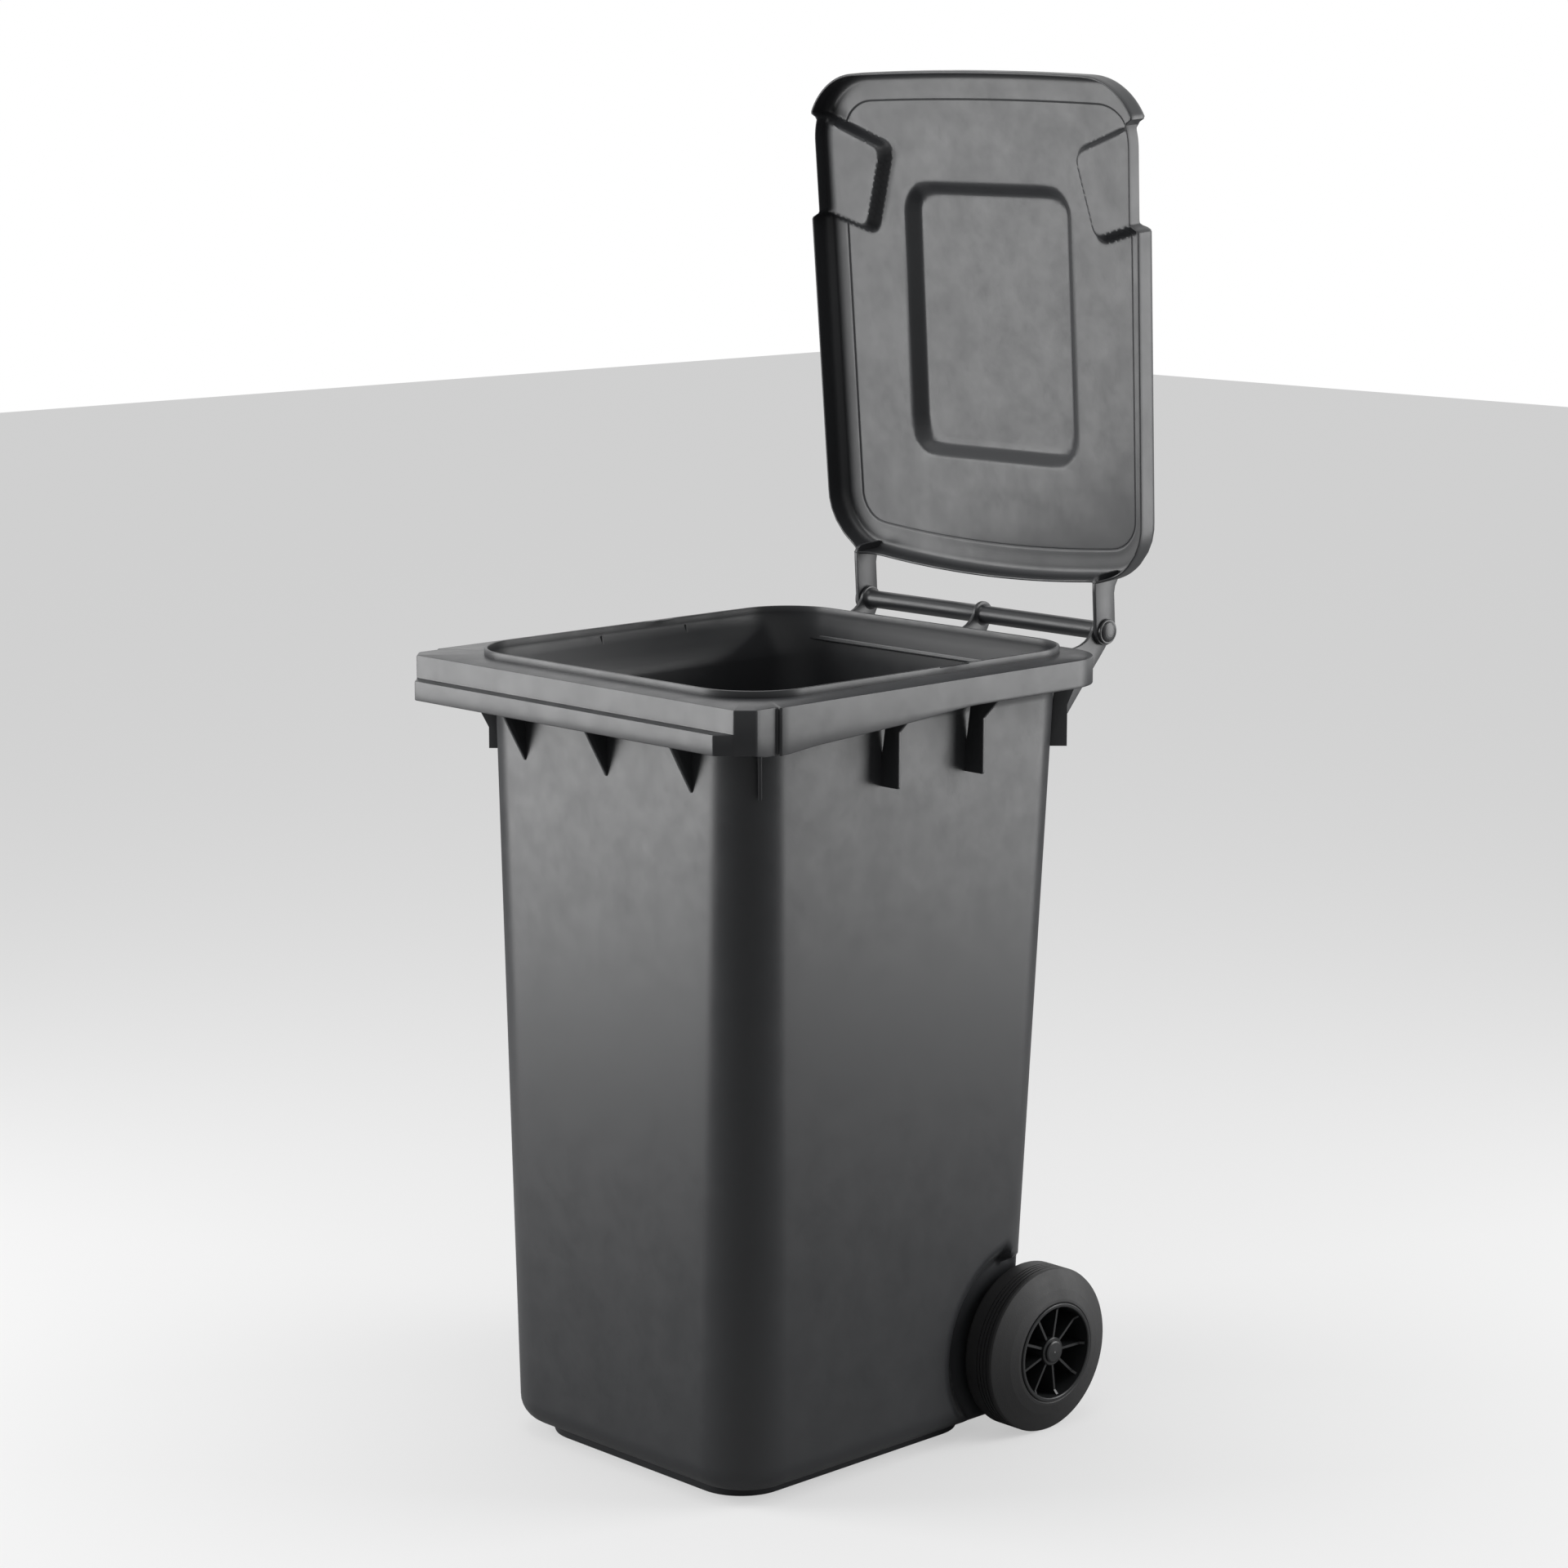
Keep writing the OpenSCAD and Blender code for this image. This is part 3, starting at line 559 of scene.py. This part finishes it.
def arcOf(cx, cz, r, a0, a1, n):
    a = np.radians(np.linspace(a0, a1, n))
    return np.column_stack([cx + r * np.cos(a), cz + r * np.sin(a)])


parts = []
f = rim["front"]
gusset = [[f + 60, top - 114], [f + 54.5, top - 114], [f + 36, top - 82], [f + 18, top - 50],
    [f + 4.6, top - 28], [f + 2, top - 22], [f + 2, top - 2], [f + 48, top - 2]]
for x in (-ribs["gussetPitch"], 0, ribs["gussetPitch"]):
    parts.append(plate(gusset, ribs["thick"], acrossX(x), 0.9))
for y in ribs["sideY"]:
    for s in (1, -1):
        reach = ribs["sideReach"]
        rib = [[226, top - 122], [reach - 2, top - 122], [reach, top - 120], [reach, top - 57],
            [rimHalf - 3, top - 57 + rimHalf - 3 - reach], [rimHalf - 3, top - 2], [244, top - 2]]
        parts.append(plate(rib, ribs["thick"], acrossY(y, s), 0.9))
ring = wallRing(tub["flareZ"], 0)
base = tub["topCorner"] - 4
for s in (1, -1):
    reach = base + ribs["cornerOut"]
    outline = [[base - 6, top - 114], [reach, top - 114], [reach, top - 89], [reach + 20, top - 50],
        [reach + 20, top - 2], [base + 6, top - 2]]
    x, y = ring[0] - tub["topCorner"] + 8, ring[1] + tub["topCorner"] + 12
    parts.append(plate(outline, ribs["thick"], upright(x, y, -math.pi / 4, s), 0.9))
    rearBase = tub["rearCorner"]
    reach = rearBase + ribs["cornerOut"]
    outline = [[rearBase - 6, top - 114], [reach, top - 114], [reach, top - 65], [reach + 12, top - 35],
        [reach + 12, top - 2], [rearBase + 6, top - 2]]
    x, y = ring[0] - rearBase, ring[2] - rearBase
    parts.append(plate(outline, ribs["thick"], upright(x, y, math.pi / 4, s), 0.9))
points, faces = joined(parts)
makePiece("ribs", points, faces, "body", tubPlastic, ["tub"], 32)

eye = arcOf(hingeY, hingeZ, ribs["eye"], -42, 172, 30)
bracket = np.concatenate([
    [[rimRear - 20, rimTop - 138], [rimRear - 17, rimTop - 125]],
    [[hingeY - 17, hingeZ - 46], [hingeY - 2, hingeZ - 30], [hingeY + 7, hingeZ - 20]],
    eye,
    [[hingeY - 17.6, hingeZ - 0.5], [hingeY - 21.5, hingeZ - 5.4], [hingeY - 27.5, hingeZ - 10],
     [hingeY - 36, hingeZ - 13.6], [hingeY - 46, hingeZ - 15.8], [hingeY - 57.7, hingeZ - 16.6],
     [rimRear + 3, hingeZ - 16.2], [rimRear - 2, hingeZ - 15], [rimRear - 8, hingeZ - 15]]])
parts = []
half = ribs["barHalf"]
for x in (-half - 2.5, 0, half + 2.5):
    parts.append(plate(bracket, ribs["bracketThick"], acrossX(x), 1.1))
r = ribs["barRadius"]
for s in (1, -1):
    bar = np.array([[0, 2.4], [r + 3.2, 2.4], [r + 1.6, 2.9], [r + 0.5, 4.0], [r, 6.0], [r, 40], [r, 90],
        [r, 140], [r, half - 6],
        [r + 0.5, half - 3.4], [r + 1.6, half - 1.2], [r + 3.2, half + 0.1], [0, half + 0.1]])
    parts.append(lathe(bar, 48, (0, hingeY, hingeZ), s))
points, faces = joined(parts)
makePiece("handle", points, faces, "body", tubPlastic, ["tub"], 32)

seat = np.concatenate([[[axleY - 32, 56], [axleY - 6, axleZ - 26]], arcOf(axleY, axleZ, 18, -110, 10, 16),
    [[axleY + 20, 150], [axleY + 19, 188], [axleY - 32, 141]]])
parts = [plate(seat, 6, acrossX(x), 0.8) for x in (-150, -60, 60, 150)]
points, faces = joined(parts)
makePiece("axleSeats", points, faces, "body", tubPlastic, ["tub"], 32)
print("ribs, brackets, handle and axle seats ready")

# Lid
lid = {
    "open": 86.3, "half": 272.7, "rearV": 47.3, "frontV": 658, "rearCorner": 77, "frontCorner": 87,
    "band": 44, "rearBow": 8.5, "frontBow": 4,
    "groove": 35.5, "grooveWide": 0.9, "grooveDeep": 0.7,
    "panelHalf": 137, "panelRear": 184, "panelFront": 522, "panelCorner": 38, "panelSlope": 14.5,
    "panelRise": 14, "hipRise": 1.5, "gripFloor": 18, "gripIn": 13.5, "gripRound": 16,
    "grip": [(264, 483), (187, 461), (157, 563), (251, 596)],
    "webFromArm": [0, 2.8, 5, 9, 14, 20, 27, 33], "armAt": 200.2,
    "webEdge": [-17, -17, -12.2, -7.2, -3.4, -1.0, 0.3, 0.5],
}
openTurn = math.radians(lid["open"])


def onLid(p):
    # closed-lid coordinates (x, distance ahead of the hinge, height above it) to the open place
    c, s = math.cos(openTurn), math.sin(openTurn)
    ahead, up = p[..., 1], p[..., 2]
    return np.stack([p[..., 0], hingeY - ahead * c + up * s, hingeZ + ahead * s + up * c], -1)


def ramp(t, e=0.012):
    # 0 below 0, 1 above 1 and straight between, with both bends rounded
    return (np.sqrt(t * t + e) - np.sqrt((t - 1) ** 2 + e) + 1) / 2


def roundedInside(x, v, half, low, high, r):
    # distance inwards from the edge of a rounded rectangle
    mid, tall = (low + high) / 2, (high - low) / 2
    qx, qv = np.abs(x) - half + r, np.abs(v - mid) - tall + r
    gap = np.hypot(np.maximum(qx, 0), np.maximum(qv, 0)) + np.minimum(np.maximum(qx, qv), 0)
    return r - gap


def gripInside(x, v):
    # distance inwards from the three inner edges of the grip hollow over a front corner
    a = np.abs(x)
    edges = []
    for (x0, v0), (x1, v1) in zip(lid["grip"], lid["grip"][1:]):
        n = np.hypot(x1 - x0, v1 - v0)
        edges.append(((a - x0) * (v1 - v0) - (v - v0) * (x1 - x0)) / n)
    rear, inner, front = edges
    return smoothMin(smoothMin(inner, front, lid["gripRound"]), rear, lid["gripRound"])


def placeLid(p, q, d):
    # reference rectangle to the real plan: tapered sides, bowed ends and set-in grip sides
    half = 262.1 + 10.8 * (q - 100) / 500
    x = p * half / lid["half"]
    lean = np.minimum(np.abs(x), 192)
    v = q + lid["rearBow"] * (lean / 170) ** 2 * smoothStep((190 - q) / 130)
    v = v - lid["frontBow"] * (lean / 190) ** 2 * smoothStep((q - 540) / 110)
    side = smoothStep((v - 475) / 9) * smoothStep((606 - v) / 8)
    near = smoothStep((np.abs(x) - 215) / 40) * np.clip(1 - d / 44, 0, 1)
    x = x - np.sign(x) * lid["gripIn"] * side * near
    return x, v


def hip(x, v):
    # shallow hipped rise from the frame line up to the panel
    side = (233 - np.abs(x)) / (233 - lid["panelHalf"])
    return np.clip(np.minimum(np.minimum(side, (v - 90) / (lid["panelRear"] - 90)), (622 - v) / 100), 0, 1)


def lidHeight(x, v, d, inner):
    # height of the outer or inner face of the roof over the hinge plane
    if inner:
        e = np.clip((d - 3) / 9, 0, 1)
        w = 17 + 11.0 * np.sqrt(np.maximum(1 - (1 - e) ** 2, 0)) + 0.8 * smoothStep((d - 10) / 20)
        w = w + 0.9 * smoothStep((d - lid["groove"]) / 0.8)
        w = w + lid["grooveDeep"] * np.exp(-((d - lid["groove"]) / lid["grooveWide"]) ** 2)
        w = w + lid["hipRise"] * hip(x, v) * (d > lid["groove"])
    else:
        e = np.clip(d / 12, 0, 1)
        w = 20 + 11.2 * np.sqrt(np.maximum(1 - (1 - e) ** 2, 0)) + 1.6 * smoothStep((d - 10) / 26)
        w = w + lid["hipRise"] * hip(x, v)
    grow = 0 if inner else 3
    inPanel = roundedInside(x, v, lid["panelHalf"] + grow, lid["panelRear"] - grow, lid["panelFront"] + grow,
        lid["panelCorner"] + grow)
    w = w + lid["panelRise"] * ramp((inPanel - 0.5) / lid["panelSlope"])
    g = ramp((gripInside(x, v) + (4.5 if inner else 1.5)) / 6.5, 0.02)
    gripFace = lid["gripFloor"] - (3 if inner else 0) + 0 * w
    return w * (1 - g) + np.minimum(gripFace, w) * g


def webEdge(x, v):
    # lower edge of the skirt: level, drawn down on both sides of each arm at the rear
    reach = np.interp(np.abs(np.abs(x) - lid["armAt"]), lid["webFromArm"], lid["webEdge"])
    return np.where(v < 140, reach, 0.5)


band = lid["band"]
lineX = np.unique(np.round(np.concatenate([np.linspace(0, 110, 9), np.arange(118, 141, 2.0), [146],
    np.linspace(150, lid["half"] - band, 32)]), 3))
lineX = np.concatenate([-lineX[:0:-1], lineX])
lineV = np.unique(np.round(np.concatenate([np.linspace(lid["rearV"] + band, 176, 10),
    np.arange(181, 202, 2.0), np.linspace(208, 448, 20), np.linspace(454, lid["frontV"] - band, 64)]), 3))
p, q = np.meshgrid(lineX, lineV)
reachX = lid["half"] - band
for low, r in ((True, lid["rearCorner"] - band), (False, lid["frontCorner"] - band)):
    edge = lid["rearV"] + band + r if low else lid["frontV"] - band - r
    a = (np.abs(p) - (reachX - r)) / r
    b = (edge - q) / r if low else (q - edge) / r
    corner = (a > 0) & (b > 0)
    a1, b1 = a * np.sqrt(np.maximum(1 - b * b / 2, 0)), b * np.sqrt(np.maximum(1 - a * a / 2, 0))
    p = np.where(corner, np.sign(p) * (reachX - r + r * a1), p)
    q = np.where(corner, edge + (-1 if low else 1) * r * b1, q)

rowsV, colsX = p.shape
loop = np.concatenate([np.arange(colsX), np.arange(1, rowsV) * colsX + colsX - 1,
    (rowsV - 1) * colsX + np.arange(colsX - 2, -1, -1), np.arange(rowsV - 2, 0, -1) * colsX])
lp, lq = p.ravel()[loop], q.ravel()[loop]
rf, rr = lid["frontCorner"] - band, lid["rearCorner"] - band
r = np.where(lq > 300, rf, rr)
nx = np.sign(lp) * np.maximum(np.abs(lp) - (reachX - r), 0)
nv = np.where(lq > 300, np.maximum(lq - (lid["frontV"] - band - rf), 0),
    -np.maximum(lid["rearV"] + band + rr - lq, 0))
onSide = (np.abs(np.abs(lp) - reachX) < 1e-6)
nx = np.where(onSide, np.sign(lp), nx)
nv = np.where(onSide, 0, nv)
length = np.maximum(np.hypot(nx, nv), 1e-9)
nx, nv = nx / length, nv / length


def lidSheet(inner):
    # middle sheet over the panel plus rings of the border band, from the band line to the edge
    far = 3.0 if inner else 0.0
    x, v = placeLid(p, q, np.full(p.shape, 60.0))
    d = np.full(p.shape, 60.0)
    sheet = np.stack([x, v, lidHeight(x, v, d, inner)], -1).reshape(-1, 3)
    groove = lid["groove"]
    steps = np.concatenate([[band, band - 2.5, groove + 4, groove + 2.4],
        np.linspace(groove + 1.6, groove - 1.6, 9), np.linspace(groove - 3, 14, 8),
        far + 11 * (1 - np.sin(np.linspace(0, math.pi / 2, 9)))])
    rings = []
    for s in steps:
        x, v = placeLid(lp + nx * (band - s), lq + nv * (band - s), np.full(lp.shape, s))
        rings.append(np.stack([x, v, lidHeight(x, v, np.full(lp.shape, s), inner)], -1))
    return sheet, rings


outerSheet, outerRings = lidSheet(False)
innerSheet, innerRings = lidSheet(True)
topEdge, lowEdge = outerRings[-1], innerRings[-1]
skirt = []
free = webEdge(topEdge[:, 0], topEdge[:, 1])
for share in (0.25, 0.5, 0.75):
    skirt.append(np.column_stack([topEdge[:, :2], topEdge[:, 2] * (1 - share) + (free + 1.3) * share]))
towards = (lowEdge[:, :2] - topEdge[:, :2])
for inset, lift in ((0, 1.3), (0.13, 0.4), (0.43, 0), (0.57, 0), (0.87, 0.4), (1, 1.3)):
    skirt.append(np.column_stack([topEdge[:, :2] + towards * inset, free + lift]))
for share in (0.75, 0.5, 0.25):
    skirt.append(np.column_stack([lowEdge[:, :2], lowEdge[:, 2] * (1 - share) + (free + 1.3) * share]))
border = np.stack(outerRings + skirt + innerRings[::-1])
borderRows, count = border.shape[:2]
points = np.concatenate([outerSheet, border.reshape(-1, 3), innerSheet])
faces = np.concatenate([gridFaces(rowsV, colsX, False), gridFaces(borderRows, count, True, len(outerSheet)),
    gridFaces(rowsV, colsX, False, len(outerSheet) + borderRows * count, True)])
makePiece("lidShell", onLid(points), faces, "lid", lidPlastic, ["lid"], 40)

arm = np.concatenate([arcOf(0, 0, 17, 90, 270, 24),
    [[50, -17], [61, -16.6], [66, -14], [69, -9], [70, 0], [70, 26], [62, 26], [52, 19], [44, 17]]])
parts = []
for x in (-200.25, 200.25):
    parts.append(plate(arm, 5.5, lambda k, x=x: onLid(acrossX(x)(k)), 1.2))
points, faces = joined(parts)
makePiece("lidArms", points, faces, "lid", lidPlastic, ["lid"], 32)
print("lid ready", len(points))

# Pieces that keep the CAD's own shape
steelFinish = {"zinc": "#8f9193", "patina": "#7b7e81", "patinaMm": 18.0, "roughness": 0.36}


def platedSteel(name, look):
    # zinc-plated steel bar: dull silver with faint cloudy patches of passivation
    material, tree = newMaterial(name)
    place = addNode(tree, "ShaderNodeTexCoord")
    cloud = addNode(tree, "ShaderNodeTexNoise", {"Scale": 1000 / look["patinaMm"], "Detail": 4.0},
        {"Vector": place.outputs["Object"]})
    colour = addNode(tree, "ShaderNodeMix",
        {"data_type": "RGBA", 6: linear(look["zinc"]), 7: linear(look["patina"])}, {0: cloud.outputs["Fac"]})
    shader = addNode(tree, "ShaderNodeBsdfPrincipled", {"Metallic": 1.0, "Roughness": look["roughness"]},
        {"Base Color": colour.outputs[2]})
    addNode(tree, "ShaderNodeOutputMaterial", None, {"Surface": shader.outputs[0]})
    return material


axleSteel = platedSteel("zincPlatedSteel", steelFinish)
finishOf = {"axle": axleSteel, "tyre": tyreRubber, "hub": hubPlastic, "latch": hubPlastic,
    "hinge": pinPlastic}
for obj in [o for o in bpy.context.scene.objects if o.type == "MESH"]:
    kind = next((k for k in finishOf if obj.name.startswith(k)), None)
    if kind:
        obj.data.materials.clear()
        obj.data.materials.append(finishOf[kind])

low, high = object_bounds()
print("scene size", list(low), list(high))
